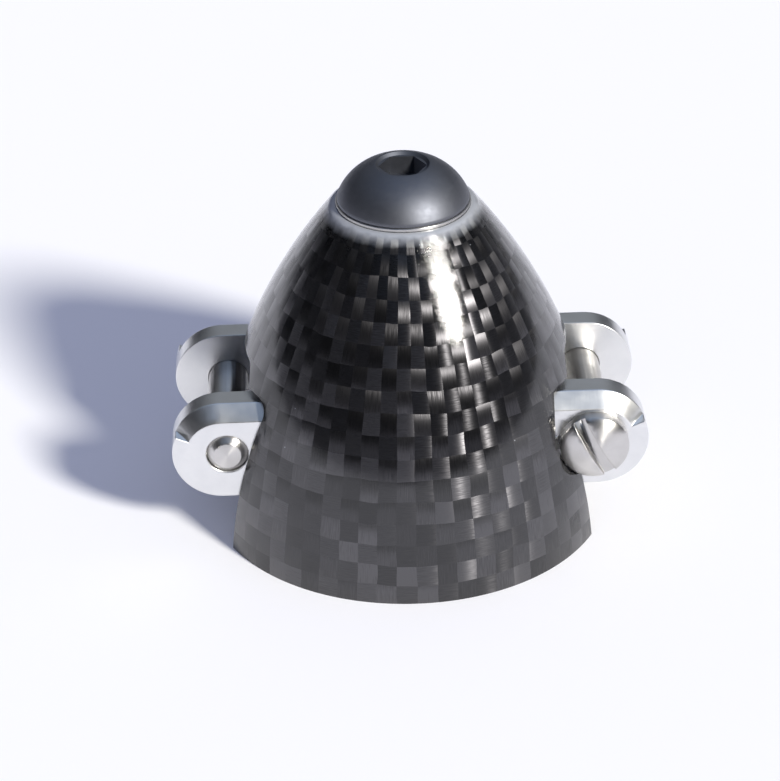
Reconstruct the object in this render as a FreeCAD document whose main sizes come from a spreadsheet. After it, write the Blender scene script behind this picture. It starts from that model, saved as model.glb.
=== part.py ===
import FreeCAD, Part
import math
import os
import Sketcher

# Propeller spinner for folding blades, standing on the rim of its cone.
# Origin: centre of the rim's plane.  +Z points to the nose, the two forks lie
# along X and both blade pins run along Y.  All lengths are in millimetres.

doc = FreeCAD.newDocument("PropellerSpinner")

# ---------------------------------------------------------------- driving sizes
SIZES = [
    # cone: a turned ogive, one arc from the rim to the flat tip
    ("rim_radius", 15.0),
    ("flank_radius", 44.3),
    ("tip_radius", 5.2),
    ("tip_height", 24.6),
    ("cone_wall", 0.8),
    ("tip_wall", 2.2),
    ("tip_round", 0.7),
    ("tip_fillet", 1.0),
    ("slot_clearance", 0.25),
    ("slot_headroom", 0.45),
    ("slot_corner", 1.2),
    ("arch_clearance", 0.45),
    ("arch_rise", 1.35),
    ("arch_corner", 2.0),
    ("head_relief", 0.15),
    ("notch_side", 0.45),
    ("notch_floor", 0.5),
    # nose screw with a domed head and hexagon socket
    ("screw_radius", 2.5),
    ("screw_length", 12.0),
    ("screw_hole_clearance", 0.2),
    ("screw_point", 0.5),
    ("dome_radius", 4.3),
    ("dome_height", 2.75),
    ("dome_edge", 0.25),
    ("dome_flat", 2.0),
    ("dome_head_radius", 4.75),
    ("socket_flats", 3.0),
    ("socket_depth", 1.6),
    ("socket_lead", 0.2),
    ("nose_washer_radius", 4.85),
    ("nose_washer_thickness", 0.25),
    # yoke: hub that centres the cone, and two forks for the blade roots
    ("fork_width", 13.5),
    ("fork_top", 11.7),
    ("fork_depth", 7.3),
    ("fork_proud", 2.3),
    ("blade_gap", 8.1),
    ("root_clearance", 5.0),
    ("fork_bevel", 1.04),
    ("bevel_end_angle", 24.0),
    ("hub_rim_depth", 5.7),
    ("hub_fit_clearance", 0.05),
    # blade pins
    ("pin_end_distance", 4.0),
    ("pin_height", 8.0),
    ("pin_radius", 1.5),
    ("pin_hole_clearance", 0.03),
    ("pin_head_radius", 2.5),
    ("pin_head_rim", 1.15),
    ("pin_head_rise", 0.65),
    ("pin_head_edge", 0.25),
    ("pin_slot_width", 0.9),
    ("pin_slot_depth", 1.15),
    ("right_slot_angle", -62.0),
    ("left_slot_angle", 20.0),
    ("pin_end_proud", 0.25),
    ("pin_end_chamfer", 0.5),
    ("pin_hole_lead", 0.05),
    # split taper collet on the motor shaft, with its nut and washer
    ("shaft_radius", 2.0),
    ("shaft_clearance", 0.01),
    ("thread_radius", 4.0),
    ("thread_allowance", 0.03),
    ("thread_chamfer", 0.4),
    ("taper_radius", 4.8),
    ("taper_length", 5.2),
    ("taper_clearance", 0.02),
    ("collet_tail", 2.2),
    ("collet_proud", 2.0),
    ("collet_slit", 0.5),
    ("shaft_stop_gap", 0.3),
    ("nut_flats", 13.0),
    ("nut_height", 4.0),
    ("nut_chamfer_angle", 30.0),
    ("washer_radius", 7.5),
    ("washer_thickness", 0.8),
    ("washer_clearance", 0.2),
]

sheet = doc.addObject("Spreadsheet::Sheet", "Sizes")
for row, (word, value) in enumerate(SIZES, start=1):
    sheet.set("A%d" % row, word)
    sheet.set("B%d" % row, str(value))
    sheet.setAlias("B%d" % row, word)
doc.recompute()


def size(expression):
    """Number that an expression on the sheet gives, for a sketch's first guess."""
    return float(sheet.evalExpression(expression))


def named(word):
    return "Sizes.%s" % word


# ------------------------------------------------------------- derived positions
FORK_TOP = named("fork_top")
FORK_BOTTOM = "(Sizes.fork_top - Sizes.fork_depth)"
FORK_HALF = "(Sizes.fork_width / 2)"
FORK_MIDDLE = "(Sizes.fork_top - Sizes.fork_depth / 2)"
FORK_REACH = "(Sizes.rim_radius + Sizes.fork_proud)"
END_CENTRE = "(%s - Sizes.fork_depth / 2)" % FORK_REACH
PIN_DISTANCE = "(%s - Sizes.pin_end_distance)" % FORK_REACH
GAP_FLOOR = "(%s - Sizes.root_clearance)" % PIN_DISTANCE
SLOT_HALF = "(Sizes.fork_width / 2 + Sizes.slot_clearance)"
SLOT_LEDGE = "(Sizes.fork_top + Sizes.slot_headroom)"
ARCH_HALF = "(Sizes.blade_gap / 2 + Sizes.arch_clearance)"
ARCH_TOP = "(%s + Sizes.arch_rise)" % SLOT_LEDGE
NOTCH_FACE = "(%s - Sizes.pin_head_radius - Sizes.notch_side)" % PIN_DISTANCE
NOTCH_FLOOR = "(Sizes.pin_height + Sizes.notch_floor)"
TIP_UNDERSIDE = "(Sizes.tip_height - Sizes.tip_wall)"
HEAD_SEAT = "(Sizes.tip_height + Sizes.nose_washer_thickness)"
DOME_TOP = "(Sizes.tip_height + Sizes.nose_washer_thickness + Sizes.dome_height)"
SCREW_END = "(Sizes.tip_height + Sizes.nose_washer_thickness - Sizes.screw_length)"
SCREW_HOLE = "(Sizes.screw_radius + Sizes.screw_hole_clearance)"
PIN_HOLE = "(Sizes.pin_radius + Sizes.pin_hole_clearance)"
HEAD_RELIEF = "(Sizes.pin_head_radius + Sizes.head_relief)"
HUB_BOTTOM = "(Sizes.fork_top - Sizes.hub_rim_depth)"
HUB_ARC = "(Sizes.flank_radius - Sizes.cone_wall - Sizes.hub_fit_clearance)"
TAPER_TOP = "(Sizes.fork_top - Sizes.fork_depth + Sizes.taper_length)"
NUT_BOTTOM = "(Sizes.fork_top + Sizes.washer_thickness)"
NUT_TOP = "(Sizes.fork_top + Sizes.washer_thickness + Sizes.nut_height)"
COLLET_TOP = "(%s + Sizes.collet_proud)" % NUT_TOP
SHAFT_END = "(%s - Sizes.shaft_stop_gap)" % SCREW_END

# Centre of the flank's arc, from the rim, the tip and the arc's radius.
HALF_CHORD_SQUARE = "(((Sizes.rim_radius - Sizes.tip_radius)^2 + Sizes.tip_height^2) / 4)"
ARC_DROP = "sqrt(Sizes.flank_radius^2 - %s)" % HALF_CHORD_SQUARE
HALF_CHORD = "sqrt(%s)" % HALF_CHORD_SQUARE
FLANK_CENTRE_X = "((Sizes.rim_radius + Sizes.tip_radius) / 2 - %s * Sizes.tip_height / (2 * %s))" % (
    ARC_DROP, HALF_CHORD)
FLANK_CENTRE_Z = "(Sizes.tip_height / 2 - %s * (Sizes.rim_radius - Sizes.tip_radius) / (2 * %s))" % (
    ARC_DROP, HALF_CHORD)


def flank_at(arc_radius, height):
    """Distance from the spinner's axis to an arc about the flank's centre."""
    return "(%s + sqrt(%s^2 - (%s - %s)^2))" % (FLANK_CENTRE_X, arc_radius, height, FLANK_CENTRE_Z)


def corner_round(arc_radius, level, round_radius):
    """Two ends of the round between an arc about the flank's centre and a flat above.

    The round lies inside the arc and under the flat and touches both, so its centre
    is on a smaller arc, and it meets the flank's arc on the line from centre to centre."""
    height = "(%s - %s)" % (level, round_radius)
    across = flank_at("(%s - %s)" % (arc_radius, round_radius), height)
    grown = "(%s / (%s - %s))" % (arc_radius, arc_radius, round_radius)
    on_arc = tuple(
        "(%s + (%s - %s) * %s)" % (centre, place, centre, grown)
        for centre, place in ((FLANK_CENTRE_X, across), (FLANK_CENTRE_Z, height)))
    return on_arc, (across, level)


# -------------------------------------------------------------------- sketch tools
def origin_part(body, role):
    """One of the body's own base planes or axes."""
    for feature in body.Origin.OriginFeatures:
        if feature.Role == role:
            return feature
    raise RuntimeError("no base plane or axis " + role)


def new_sketch(body, name, role, offset=None):
    """Sketch on one of the body's own planes, moved along its normal by offset."""
    sketch = body.newObject("Sketcher::SketchObject", name)
    sketch.AttachmentSupport = [(origin_part(body, role), "")]
    sketch.MapMode = "FlatFace"
    if offset is not None:
        sketch.setExpression("AttachmentOffset.Base.z", offset)
    return sketch


def hold(sketch, geometry, point, across, up):
    """Hold one point of a sketch at two expressions; a plain 0 lies on the axis."""
    # in a sketch -2 names its vertical axis, -1 its horizontal one, and (-1, 1) its origin
    for kind, expression, axis in (("DistanceX", across, -2), ("DistanceY", up, -1)):
        if expression == "0":
            sketch.addConstraint(Sketcher.Constraint("PointOnObject", geometry, point, axis))
        else:
            value = size(expression)
            index = sketch.addConstraint(Sketcher.Constraint(kind, -1, 1, geometry, point, value))
            sketch.setExpression("Constraints[%d]" % index, expression)


def bulged(start, end, radius, side):
    """Arc of a given radius between two points, bulging to one side (+1 left, -1 right)."""
    middle = (start + end) * 0.5
    chord = end - start
    normal = FreeCAD.Vector(-chord.y, chord.x, 0).normalize() * side
    rise = radius - math.sqrt(radius ** 2 - (chord.Length / 2) ** 2)
    return Part.Arc(start, middle + normal * rise, end)


def outline(sketch, corners, arcs=None):
    """Closed loop through corners; arcs gives radius and side of the bulging spans.

    Each corner is a pair of expressions.  arcs maps a span's number to
    (radius expression, side)."""
    arcs = arcs or {}
    points = [FreeCAD.Vector(size(across), size(up), 0) for across, up in corners]
    count = len(points)
    spans = []
    for number in range(count):
        start = points[number]
        end = points[(number + 1) % count]
        if number in arcs:
            radius, side = arcs[number]
            curve = bulged(start, end, size(radius), side)
            span = sketch.addGeometry(curve)
            # an arc runs anticlockwise, so its own start may be the span's end
            forward = (sketch.getPoint(span, 1) - start).Length < (sketch.getPoint(span, 2) - start).Length
            spans.append((span, 1, 2) if forward else (span, 2, 1))
            index = sketch.addConstraint(Sketcher.Constraint("Radius", span, size(radius)))
            sketch.setExpression("Constraints[%d]" % index, radius)
        else:
            spans.append((sketch.addGeometry(Part.LineSegment(start, end)), 1, 2))
    for number in range(count):
        span, first, last = spans[number]
        after, after_first, after_last = spans[(number + 1) % count]
        sketch.addConstraint(Sketcher.Constraint("Coincident", span, last, after, after_first))
        hold(sketch, span, first, *corners[number])
    return sketch


def circle(sketch, across, up, radius):
    number = sketch.addGeometry(
        Part.Circle(FreeCAD.Vector(size(across), size(up), 0), FreeCAD.Vector(0, 0, 1), size(radius)))
    hold(sketch, number, 3, across, up)
    index = sketch.addConstraint(Sketcher.Constraint("Radius", number, size(radius)))
    sketch.setExpression("Constraints[%d]" % index, radius)
    return sketch


def hexagon(sketch, flats, turned):
    """Regular hexagon about the sketch's origin, with a corner at the angle turned."""
    corners = []
    for angle in range(turned, turned + 360, 60):
        corners.append((
            "(%s / sqrt(3) * cos(%ddeg))" % (flats, angle),
            "(%s / sqrt(3) * sin(%ddeg))" % (flats, angle)))
    return outline(sketch, corners)


# ------------------------------------------------------------------- feature tools
def new_body(label):
    body = doc.addObject("PartDesign::Body", "Body_" + label)
    body.Label = label
    return body


def added(body, feature):
    """Recompute, so that what reads the solid next finds it up to date."""
    body.Tip = feature
    doc.recompute()
    return feature


def revolve(body, sketch, name, kind="PartDesign::Revolution"):
    feature = body.newObject(kind, name)
    feature.Profile = sketch
    feature.ReferenceAxis = (sketch, ["V_Axis"])
    feature.Angle = 360
    return added(body, feature)


def pad(body, sketch, name, length, both_ways=False):
    feature = body.newObject("PartDesign::Pad", name)
    feature.Profile = sketch
    feature.SideType = "Symmetric" if both_ways else "One side"
    feature.setExpression("Length", length)
    return added(body, feature)


def must_cut(feature, before):
    if not feature.Shape.Volume < before - 1e-6:
        raise RuntimeError(feature.Name + " removed nothing")


def pocket(body, sketch, name, length=None, both_ways=False, reverse=False, may_miss=False):
    """Cut by a sketch: through everything, or by a given length.

    may_miss is for a clearance that takes off only what stands in its way."""
    before = body.Shape.Volume
    feature = body.newObject("PartDesign::Pocket", name)
    feature.Profile = sketch
    feature.SideType = "Symmetric" if both_ways else "One side"
    feature.Reversed = reverse
    if length is None:
        feature.Type = "ThroughAll"
    else:
        feature.Type = "Length"
        feature.setExpression("Length", length)
    added(body, feature)
    if not may_miss:
        must_cut(feature, before)
    return feature


def turned_pattern(body, feature, name, copies):
    """The same cut or boss, repeated evenly about the spinner's axis."""
    pattern = body.newObject("PartDesign::PolarPattern", name)
    pattern.Originals = [feature]
    pattern.Axis = (origin_part(body, "Z_Axis"), [""])
    pattern.Angle = 360
    pattern.Occurrences = copies
    return added(body, pattern)


def circle_edges(feature, radius, centre_test):
    """Names of the full or partial circular edges with a radius and a wanted centre."""
    names = []
    for number, edge in enumerate(feature.Shape.Edges, start=1):
        curve = edge.Curve
        if isinstance(curve, Part.Circle) and abs(curve.Radius - radius) < 1e-4 and centre_test(curve.Center):
            names.append("Edge%d" % number)
    if not names:
        raise RuntimeError("no edge to dress on " + feature.Name)
    return names


def dress(body, kind, name, feature, edges, length):
    """Fillet or chamfer on named edges of the last feature."""
    dressed = body.newObject("PartDesign::" + kind, name)
    dressed.Base = (feature, edges)
    dressed.setExpression("Radius" if kind == "Fillet" else "Size", length)
    return added(body, dressed)


# ---------------------------------------------------------------------- the pieces
def make_cone():
    """Moulded carbon ogive: one even wall, a thick flat tip, two slots open at the rim."""
    body = new_body("spinner_cone")
    outer_arc = named("flank_radius")
    inner_arc = "(Sizes.flank_radius - Sizes.cone_wall)"
    lip_start, lip_end = corner_round(outer_arc, named("tip_height"), named("tip_round"))
    throat_start, throat_end = corner_round(inner_arc, TIP_UNDERSIDE, named("tip_fillet"))
    section = outline(new_sketch(body, "ConeSection", "XZ_Plane"), [
        (named("rim_radius"), "0"),
        lip_start,
        lip_end,
        (SCREW_HOLE, named("tip_height")),
        (SCREW_HOLE, TIP_UNDERSIDE),
        throat_end,
        throat_start,
        (flank_at(inner_arc, "0"), "0"),
    ], {
        0: (outer_arc, -1),
        1: (named("tip_round"), -1),
        5: (named("tip_fillet"), 1),
        6: (inner_arc, 1),
    })
    revolve(body, section, "ConeShell")

    # the slots for both forks are one cut along X: a ledge with rounded corners close
    # above the ears, and between them a round-shouldered arch that clears the blade's root
    slot = new_sketch(body, "SlotShape", "YZ_Plane")
    shoulder = "(%s - Sizes.slot_corner)" % SLOT_LEDGE
    ledge_end = "(%s - Sizes.slot_corner)" % SLOT_HALF
    crown_end = "(%s - Sizes.arch_corner)" % ARCH_HALF
    arch_foot = "(%s + sqrt(Sizes.arch_corner^2 - (Sizes.arch_corner - Sizes.arch_rise)^2))" % crown_end
    outline(slot, [
        ("-" + SLOT_HALF, "-Sizes.rim_radius"),
        (SLOT_HALF, "-Sizes.rim_radius"),
        (SLOT_HALF, shoulder),
        (ledge_end, SLOT_LEDGE),
        (arch_foot, SLOT_LEDGE),
        (crown_end, ARCH_TOP),
        ("-" + crown_end, ARCH_TOP),
        ("-" + arch_foot, SLOT_LEDGE),
        ("-" + ledge_end, SLOT_LEDGE),
        ("-" + SLOT_HALF, shoulder),
    ], {
        2: (named("slot_corner"), -1),
        4: (named("arch_corner"), -1),
        6: (named("arch_corner"), -1),
        8: (named("slot_corner"), -1),
    })
    pocket(body, slot, "ForkSlots", both_ways=True)
    clear_heads(body)
    return body


def clear_heads(body, offset=None):
    """Room for both pins' heads: an arc round each head, and above it a notch to the ledge.

    With an offset, for the hub, the cuts start at the ear's face and may find nothing."""
    relief = new_sketch(body, "ReliefShape_" + body.Label, "XZ_Plane", offset)
    circle(relief, PIN_DISTANCE, named("pin_height"), HEAD_RELIEF)
    hub = offset is not None
    arc = pocket(body, relief, "HeadRelief_" + body.Label, reverse=True, may_miss=hub)
    turned_pattern(body, arc, "HeadReliefs_" + body.Label, 2)
    notch = new_sketch(body, "NotchShape_" + body.Label, "XZ_Plane", offset)
    outline(notch, [
        (NOTCH_FACE, NOTCH_FLOOR),
        (FORK_REACH, NOTCH_FLOOR),
        (FORK_REACH, SLOT_LEDGE),
        (NOTCH_FACE, SLOT_LEDGE),
    ])
    cut = pocket(body, notch, "HeadNotch_" + body.Label, reverse=True, may_miss=hub)
    turned_pattern(body, cut, "HeadNotches_" + body.Label, 2)


def make_nose_screw():
    """Button-head screw: domed head with a small flat, hexagon socket, chamfered point."""
    body = new_body("nose_screw")
    edge_top = "(%s + Sizes.dome_edge)" % HEAD_SEAT
    section = outline(new_sketch(body, "ScrewSection", "XZ_Plane"), [
        ("0", DOME_TOP),
        (named("dome_flat"), DOME_TOP),
        (named("dome_head_radius"), edge_top),
        (named("dome_head_radius"), HEAD_SEAT),
        (named("screw_radius"), HEAD_SEAT),
        (named("screw_radius"), "(%s + Sizes.screw_point)" % SCREW_END),
        ("(Sizes.screw_radius - Sizes.screw_point)", SCREW_END),
        ("0", SCREW_END),
    ], {1: (named("dome_radius"), 1)})
    revolve(body, section, "ScrewTurned")

    # lead-in cone over the socket, as wide as the hexagon's corners
    lead_radius = "(Sizes.socket_flats / sqrt(3))"
    lead = outline(new_sketch(body, "LeadSection", "XZ_Plane"), [
        ("0", "(%s + Sizes.socket_lead)" % DOME_TOP),
        ("(%s + Sizes.socket_lead)" % lead_radius, "(%s + Sizes.socket_lead)" % DOME_TOP),
        ("(%s + Sizes.socket_lead)" % lead_radius, DOME_TOP),
        (lead_radius, "(%s - Sizes.socket_lead)" % DOME_TOP),
        ("0", "(%s - Sizes.socket_lead)" % DOME_TOP),
    ])
    revolve(body, lead, "SocketLead", "PartDesign::Groove")
    socket = hexagon(new_sketch(body, "SocketShape", "XY_Plane", DOME_TOP), named("socket_flats"), 90)
    pocket(body, socket, "Socket", named("socket_depth"))
    return body


def make_ring(label, inner, outer, bottom, thickness):
    """Flat turned ring, such as a washer."""
    body = new_body(label)
    shape = new_sketch(body, "RingShape_" + label, "XY_Plane", bottom)
    circle(shape, "0", "0", outer)
    circle(shape, "0", "0", inner)
    pad(body, shape, "Ring_" + label, thickness)
    return body


def make_yoke():
    """Milled middle piece: round hub turned to the cone's inside, and two forks."""
    body = new_body("yoke")
    bar = new_sketch(body, "BarShape", "XZ_Plane")
    outline(bar, [
        ("-" + END_CENTRE, FORK_BOTTOM),
        (END_CENTRE, FORK_BOTTOM),
        (FORK_REACH, FORK_MIDDLE),
        (END_CENTRE, FORK_TOP),
        ("-" + END_CENTRE, FORK_TOP),
        ("-" + FORK_REACH, FORK_MIDDLE),
    ], {
        1: ("(Sizes.fork_depth / 2)", -1),
        2: ("(Sizes.fork_depth / 2)", -1),
        4: ("(Sizes.fork_depth / 2)", -1),
        5: ("(Sizes.fork_depth / 2)", -1),
    })
    pad(body, bar, "Bar", named("fork_width"), both_ways=True)

    # the hub's rim follows the cone's inner wall, which centres the cone
    rim = outline(new_sketch(body, "HubSection", "XZ_Plane"), [
        ("0", HUB_BOTTOM),
        (flank_at(HUB_ARC, HUB_BOTTOM), HUB_BOTTOM),
        (flank_at(HUB_ARC, FORK_TOP), FORK_TOP),
        ("0", FORK_TOP),
    ], {1: (HUB_ARC, -1)})
    revolve(body, rim, "Hub")

    # bevel along both upper outer edges, then round each end down to its stop
    bevel = new_sketch(body, "BevelShape", "YZ_Plane")
    for side in ("", "-"):
        outline(bevel, bevel_corners(side, FORK_TOP))
    pocket(body, bevel, "BevelStraight", "(2 * %s)" % END_CENTRE, both_ways=True)
    stop = new_sketch(body, "BevelEndShape", "YZ_Plane", END_CENTRE)
    for side in ("", "-"):
        outline(stop, bevel_corners(side, FORK_TOP))
    turning = sketch_axis(stop, FORK_MIDDLE)
    rounded = body.newObject("PartDesign::Groove", "BevelEnd")
    rounded.Profile = stop
    rounded.ReferenceAxis = (stop, [turning])
    rounded.setExpression("Angle", "90 - Sizes.bevel_end_angle")
    before = body.Shape.Volume
    added(body, rounded)
    must_cut(rounded, before)
    turned_pattern(body, rounded, "BevelEnds", 2)

    # gaps for the blade roots
    gap = new_sketch(body, "GapShape", "XY_Plane")
    half_gap = "(Sizes.blade_gap / 2)"
    beyond = "(%s + Sizes.fork_depth)" % FORK_REACH
    for side in ("", "-"):
        outline(gap, [
            (side + GAP_FLOOR, "-" + half_gap),
            (side + beyond, "-" + half_gap),
            (side + beyond, half_gap),
            (side + GAP_FLOOR, half_gap),
        ])
    pocket(body, gap, "BladeGaps", both_ways=True)

    # one hole through both ears of each fork; the far ear's mouth has a lead-in
    holes = new_sketch(body, "PinHoleShape", "XZ_Plane")
    circle(holes, PIN_DISTANCE, named("pin_height"), PIN_HOLE)
    circle(holes, "-" + PIN_DISTANCE, named("pin_height"), PIN_HOLE)
    drilled = pocket(body, holes, "PinHoles", both_ways=True)
    face = size(FORK_HALF)
    mouths = circle_edges(drilled, size(PIN_HOLE),
                          lambda c: abs(abs(c.y) - face) < 1e-4 and c.x * c.y > 0)
    dress(body, "Chamfer", "PinHoleLeads", drilled, mouths, named("pin_hole_lead"))

    # the hub gives the heads the same room, cut flush with the ear's face
    clear_heads(body, FORK_HALF)

    # taper seat for the collet, with a plain bore for its thread above
    bore = outline(new_sketch(body, "BoreSection", "XZ_Plane"), [
        ("0", FORK_BOTTOM),
        ("(Sizes.taper_radius + Sizes.taper_clearance)", FORK_BOTTOM),
        ("(Sizes.thread_radius + Sizes.taper_clearance)", TAPER_TOP),
        ("(Sizes.thread_radius + Sizes.taper_clearance)", FORK_TOP),
        ("0", FORK_TOP),
    ])
    revolve(body, bore, "TaperBore", "PartDesign::Groove")
    return body


def bevel_corners(side, top):
    """Triangle that a 45 degree bevel takes off one upper outer edge."""
    return [
        (side + FORK_HALF, "(%s - Sizes.fork_bevel)" % top),
        (side + FORK_HALF, top),
        (side + "(Sizes.fork_width / 2 - Sizes.fork_bevel)", top),
    ]


def sketch_axis(sketch, up):
    """Construction line across a sketch at a height, to turn a profile about."""
    number = sketch.addGeometry(
        Part.LineSegment(FreeCAD.Vector(0, size(up), 0), FreeCAD.Vector(1, size(up), 0)), True)
    hold(sketch, number, 1, "0", up)
    hold(sketch, number, 2, FORK_HALF, up)
    return "Axis0"


def make_blade_pin(label, side, slot_angle):
    """Blade screw: slotted conical head against one ear, plain shank through both.

    side is 1 for the fork along +X and -1 for the other, whose screw goes in from
    the opposite face."""
    body = new_body(label)
    seat = "-" + FORK_HALF
    rim_face = "(%s - Sizes.pin_head_rim)" % seat
    apex = "(%s - Sizes.pin_head_rise)" % rim_face
    end = "(%s + Sizes.pin_end_proud)" % FORK_HALF
    section = outline(new_sketch(body, "PinSection_" + label, "XY_Plane"), [
        ("0", apex),
        ("(Sizes.pin_head_radius - Sizes.pin_head_edge)", rim_face),
        (named("pin_head_radius"), "(%s + Sizes.pin_head_edge)" % rim_face),
        (named("pin_head_radius"), seat),
        (named("pin_radius"), seat),
        (named("pin_radius"), "(%s - Sizes.pin_end_chamfer)" % end),
        ("(Sizes.pin_radius - Sizes.pin_end_chamfer)", end),
        ("0", end),
    ])
    revolve(body, section, "PinTurned_" + label)

    # the screwdriver slot lies across the head, turned about the pin's axis
    slot = new_sketch(body, "PinSlotShape_" + label, "XZ_Plane", "-" + apex)
    slot.setExpression("AttachmentOffset.Rotation.Angle", slot_angle + " * 1deg")
    reach = "(2 * Sizes.pin_head_radius)"
    half = "(Sizes.pin_slot_width / 2)"
    outline(slot, [("-" + reach, "-" + half), (reach, "-" + half), (reach, half), ("-" + reach, half)])
    pocket(body, slot, "PinSlot_" + label, named("pin_slot_depth"))

    body.setExpression("Placement.Base.x", "%d * %s" % (side, PIN_DISTANCE))
    body.setExpression("Placement.Base.z", named("pin_height"))
    body.Placement.Rotation = FreeCAD.Rotation(FreeCAD.Vector(0, 0, 1), 0 if side > 0 else 180)
    return body


def make_collet():
    """Split taper sleeve: shaft bore, slits, thread for the nut, tapped front end."""
    body = new_body("shaft_collet")
    bore = "(Sizes.shaft_radius + Sizes.shaft_clearance)"
    tapped = "(Sizes.screw_radius + Sizes.thread_allowance)"
    section = outline(new_sketch(body, "ColletSection", "XZ_Plane"), [
        (bore, named("collet_tail")),
        (named("taper_radius"), named("collet_tail")),
        (named("taper_radius"), FORK_BOTTOM),
        (named("thread_radius"), TAPER_TOP),
        (named("thread_radius"), "(%s - Sizes.thread_chamfer)" % COLLET_TOP),
        ("(Sizes.thread_radius - Sizes.thread_chamfer)", COLLET_TOP),
        (tapped, COLLET_TOP),
        (tapped, SHAFT_END),
        (bore, SHAFT_END),
    ])
    revolve(body, section, "ColletTurned")
    slit = new_sketch(body, "SlitShape", "XY_Plane", named("collet_tail"))
    half = "(Sizes.collet_slit / 2)"
    outline(slit, [
        ("0", "-" + half),
        ("(2 * Sizes.taper_radius)", "-" + half),
        ("(2 * Sizes.taper_radius)", half),
        ("0", half),
    ])
    first = pocket(body, slit, "Slit", "(%s - Sizes.collet_tail)" % TAPER_TOP, reverse=True)
    turned_pattern(body, first, "Slits", 3)
    return body


def make_nut():
    """Thin hexagon nut with turned corners, which draws the collet into its taper."""
    body = new_body("clamp_nut")
    prism = hexagon(new_sketch(body, "NutShape", "XY_Plane", NUT_BOTTOM), named("nut_flats"), 0)
    pad(body, prism, "NutPrism", named("nut_height"))
    corner = "(Sizes.nut_flats / sqrt(3))"
    flat = "(Sizes.nut_flats / 2)"
    drop = "((%s - %s) * tan(Sizes.nut_chamfer_angle * 1deg))" % (corner, flat)
    turned = new_sketch(body, "NutCornerSection", "XZ_Plane")
    outline(turned, [
        (flat, NUT_TOP),
        ("(2 * %s - %s)" % (corner, flat), NUT_TOP),
        ("(2 * %s - %s)" % (corner, flat), "(%s - 2 * %s)" % (NUT_TOP, drop)),
    ])
    revolve(body, turned, "NutCorners", "PartDesign::Groove")
    hole = new_sketch(body, "NutBoreShape", "XY_Plane", NUT_TOP)
    circle(hole, "0", "0", "(Sizes.thread_radius + Sizes.thread_allowance)")
    pocket(body, hole, "NutBore")
    return body


bodies = [
    make_cone(),
    make_nose_screw(),
    make_ring("nose_washer", SCREW_HOLE, named("nose_washer_radius"), named("tip_height"),
              named("nose_washer_thickness")),
    make_yoke(),
    make_blade_pin("blade_pin_right", 1, named("right_slot_angle")),
    make_blade_pin("blade_pin_left", -1, named("left_slot_angle")),
    make_collet(),
    make_nut(),
    make_ring("nut_washer", "(Sizes.thread_radius + Sizes.washer_clearance)", named("washer_radius"),
              FORK_TOP, named("washer_thickness")),
]

doc.recompute()

# ------------------------------------------------------------------ check and write
for item in doc.Objects:
    if "Invalid" in item.State or "Error" in item.State:
        raise RuntimeError("%s failed: %s" % (item.Label, item.State))
for body in bodies:
    if body.Shape.isNull() or not body.Shape.isValid() or len(body.Shape.Solids) != 1:
        raise RuntimeError("bad solid: " + body.Label)

os.makedirs("parts", exist_ok=True)
for body in bodies:
    body.Shape.exportStep(os.path.join("parts", body.Label + ".step"))
    box = body.Shape.BoundBox
    print("%-16s volume %8.1f mm3  x %.2f..%.2f  y %.2f..%.2f  z %.2f..%.2f" % (
        body.Label, body.Shape.Volume, box.XMin, box.XMax, box.YMin, box.YMax, box.ZMin, box.ZMax))
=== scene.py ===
import math

import bmesh
import bpy
import numpy as np
from mathutils import Matrix, Vector


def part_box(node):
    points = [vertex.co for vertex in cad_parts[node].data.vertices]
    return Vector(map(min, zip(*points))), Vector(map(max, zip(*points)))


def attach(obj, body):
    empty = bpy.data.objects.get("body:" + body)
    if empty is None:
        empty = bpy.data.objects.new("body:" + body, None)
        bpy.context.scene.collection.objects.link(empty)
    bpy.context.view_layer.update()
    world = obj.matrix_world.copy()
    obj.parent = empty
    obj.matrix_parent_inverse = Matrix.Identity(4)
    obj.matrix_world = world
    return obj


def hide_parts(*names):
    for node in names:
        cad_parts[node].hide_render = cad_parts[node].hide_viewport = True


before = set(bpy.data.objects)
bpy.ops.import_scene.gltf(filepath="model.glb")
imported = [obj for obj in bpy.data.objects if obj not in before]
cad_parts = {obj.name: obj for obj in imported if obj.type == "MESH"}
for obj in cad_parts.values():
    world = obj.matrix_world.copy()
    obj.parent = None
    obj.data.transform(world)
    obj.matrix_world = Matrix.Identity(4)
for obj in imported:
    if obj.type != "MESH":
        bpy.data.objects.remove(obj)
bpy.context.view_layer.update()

bl_info = {
    "name": "Propeller Spinner",
    "version": (1, 0, 0),
    "blender": (4, 5, 0),
    "location": "3D View > Sidebar > Spinner",
    "description": "Finishes a woven carbon spinner with its yoke, screws and washers",
    "category": "Object",
}

# The frame is in metres with the spinner's axis along +Z, the forks along X and the
# blade pins along Y.  Sizes below are in millimetres and mesh code turns them to metres.
MM = 0.001
TURN = 2 * math.pi
POLE = 1e-4  # radius of a closed pole, which merging the doubles shuts

# Slopes of the woven tows, as rise over run: the bow along a tow, the most that two tows
# differ in tilt, and the ridges that bundles of fibres make.
TOW_BOW = 0.24
TOW_TILT = 0.22
FIBRE_RIDGE = 0.5

# Heights on the cone between which a finish fades: painted shade that darkens the tows under the lip,
# where the coat's hairlines grow dense, and the pale grey lip, measured from the tip.
SHADED_TOWS_UNDER_LIP = (21.8, 23.8)
HAIRLINES = (17.0, 24.5)
PALE_LIP = (-0.6, 0.1)


def box_mm(node):
    """Lowest and highest corner of a node of the frame, in millimetres."""
    low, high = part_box(node)
    return np.array(low) / MM, np.array(high) / MM


_, CONE_HIGH = box_mm("spinner_cone")
SCREW_LOW, SCREW_HIGH = box_mm("nose_screw")
_, WASHER_HIGH = box_mm("nose_washer")
PIN_LOW, PIN_HIGH = box_mm("blade_pin_right")
PIN_DISTANCE = (PIN_LOW[0] + PIN_HIGH[0]) / 2
PIN_HEIGHT = (PIN_LOW[2] + PIN_HIGH[2]) / 2


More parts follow.
